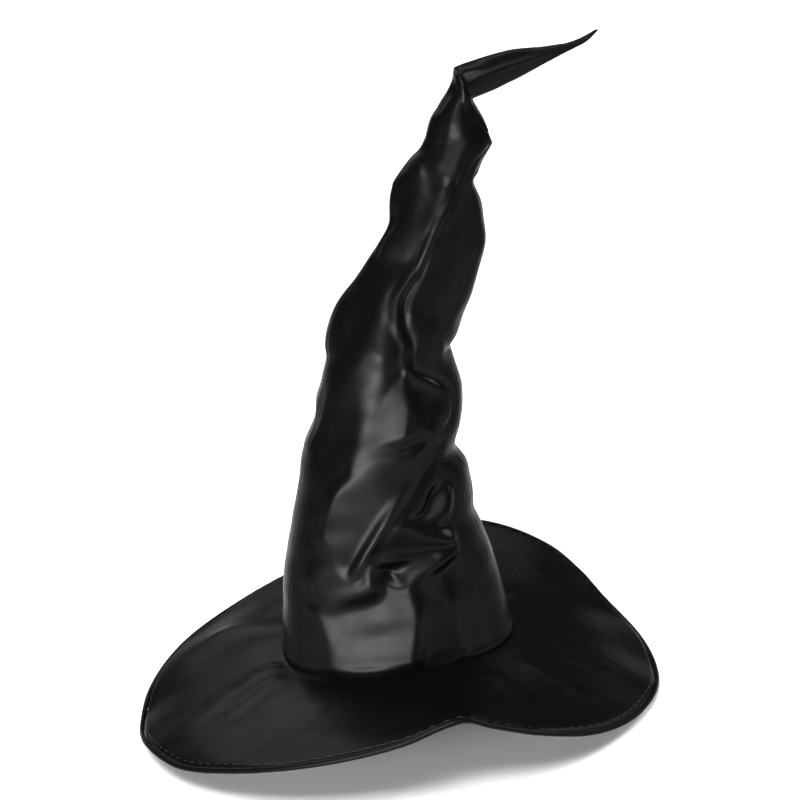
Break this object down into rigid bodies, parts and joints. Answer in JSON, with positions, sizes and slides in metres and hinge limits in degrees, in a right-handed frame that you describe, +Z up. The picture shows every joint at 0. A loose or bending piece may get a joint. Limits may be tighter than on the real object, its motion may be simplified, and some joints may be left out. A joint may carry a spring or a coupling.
{
  "type": "crooked witch hat",
  "caption": "Tall crooked cone hat in black satin with a folded, wired neck and tip, on a wide waved brim with a wired piped edge.",
  "frame": {"origin": "centre of the head opening, level with the lower edge of the sweatband", "axes": "+Z up along the head opening, +X to the side that the tip points to, -Y to the front"},
  "size_m": [0.4518, 0.4742, 0.5608],
  "materials": {
    "satin": "glossy black polyester satin",
    "foam": "thin charcoal polyether foam bonded behind the satin",
    "lining": "matte black woven lining",
    "sweatband": "black grosgrain ribbon",
    "thread": "black polyester thread",
    "label": "blank white satin ribbon",
    "wire": "soft galvanised millinery wire",
    "crimp": "soft aluminium sleeve",
    "plastic": "black moulded cap"
  },
  "bodies": {
    "hat": {"cone_satin": "satin", "lower_cone_foam": "foam", "upper_cone_foam": "foam", "cone_lining": "lining", "cone_seam_stitching": "thread", "brim_top_satin": "satin", "right_brim_foam": "foam", "left_brim_foam": "foam", "brim_underside_satin": "satin", "brim_edge_piping": "satin", "brim_edge_wire": "wire", "brim_wire_crimp": "crimp", "brim_edge_stitching": "thread", "base_seam_stitching": "thread", "sweatband": "sweatband", "care_label": "label", "cone_wire": "wire", "cone_wire_casing": "lining", "cone_wire_end_cap": "plastic"},
    "neck": {"neck_satin": "satin", "neck_foam": "foam", "neck_wire": "wire"},
    "tip": {"tip_satin": "satin", "tip_foam": "foam", "tip_wire": "wire", "tip_wire_end_cap": "plastic"}
  },
  "joints": [
    {"name": "neck_bend", "type": "hinge", "parent": "hat", "child": "neck", "pos_m": [0.1245, 0, 0.42495], "axis": [0, 1, 0], "range_deg": [0, 30]},
    {"name": "tip_bend", "type": "hinge", "parent": "neck", "child": "tip", "pos_m": [0.0982, 0, 0.4856], "axis": [0, -1, 0], "range_deg": [0, 50]}
  ]
}
